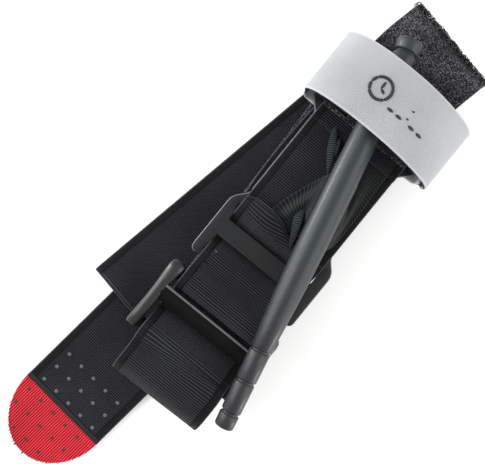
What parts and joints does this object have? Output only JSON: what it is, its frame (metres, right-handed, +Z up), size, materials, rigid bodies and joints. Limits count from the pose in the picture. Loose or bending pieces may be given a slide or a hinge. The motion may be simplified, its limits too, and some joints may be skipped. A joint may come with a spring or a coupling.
{
  "type": "windlass tourniquet",
  "caption": "Folded windlass tourniquet: ribbed sleeve band with a sliding tension band, windlass rod, clip, plate, friction buckle and securing strap.",
  "frame": {"origin": "on the underside of the lowest folded layer, straight below the middle of the plate's waist line", "axes": "+X along the stabilizer plate towards the securing strap, +Z up from the surface that the folded band lies on"},
  "size_m": [0.2238, 0.0758, 0.0385],
  "materials": {
    "ribbed_ribbon": "ribbed grosgrain weave",
    "loop_tape": "fuzzy hook-and-loop pile",
    "tension_webbing": "narrow woven webbing",
    "red_tape": "ribbed tape",
    "grey_strap": "fine plain weave",
    "plate_plastic": "fine moulded grain",
    "buckle_plastic": "smooth moulded",
    "rod_plastic": "satin moulded"
  },
  "bodies": {
    "band": {"stabilizer_plate": "plate_plastic", "windlass_clip": "plate_plastic", "friction_buckle": "buckle_plastic", "base_ribbon": "ribbed_ribbon", "cover_ribbon_buckle_side": "ribbed_ribbon", "cover_ribbon_clip_side": "ribbed_ribbon", "hook_loop_tape": "loop_tape", "tension_band_buckle_run": "tension_webbing", "tension_band_sleeve_run": "tension_webbing", "buckle_end_loop": "ribbed_ribbon", "tension_band_flap_buckle_side": "tension_webbing", "tension_band_flap_clip_side": "tension_webbing", "securing_strap_base": "grey_strap", "strap_loop_patch": "loop_tape"},
    "windlass": {"windlass_rod": "rod_plastic", "tension_band_in_slot": "tension_webbing"},
    "strap_flap": {"securing_strap": "grey_strap", "strap_hook_patch": "loop_tape"},
    "tail": {"tail_ribbon": "ribbed_ribbon", "tail_tension_band": "tension_webbing", "tail_loop_tape": "loop_tape", "red_tip_tape": "red_tape"}
  },
  "joints": [
    {"name": "windlass_turn", "type": "hinge", "parent": "band", "child": "windlass", "pos_m": [0.0002, -0.0066, 0.0286], "axis": [0, 0, 1], "range_deg": [-100, 0], "deforming": ["tension_band_flap_buckle_side", "tension_band_flap_clip_side"]},
    {"name": "securing_strap_open", "type": "hinge", "parent": "band", "child": "strap_flap", "pos_m": [0.0413, 0.0261, 0.0215], "axis": [1, 0, 0], "range_deg": [-120, 0]},
    {"name": "tail_unfold", "type": "hinge", "parent": "band", "child": "tail", "pos_m": [0.053, 0.0032, 0.0024], "axis": [-0.1392, -0.9903, 0], "range_deg": [0, 180]}
  ],
  "couplings": [
    {"joint": "securing_strap_open", "follows": "windlass_turn", "ratio": 1.2}
  ]
}
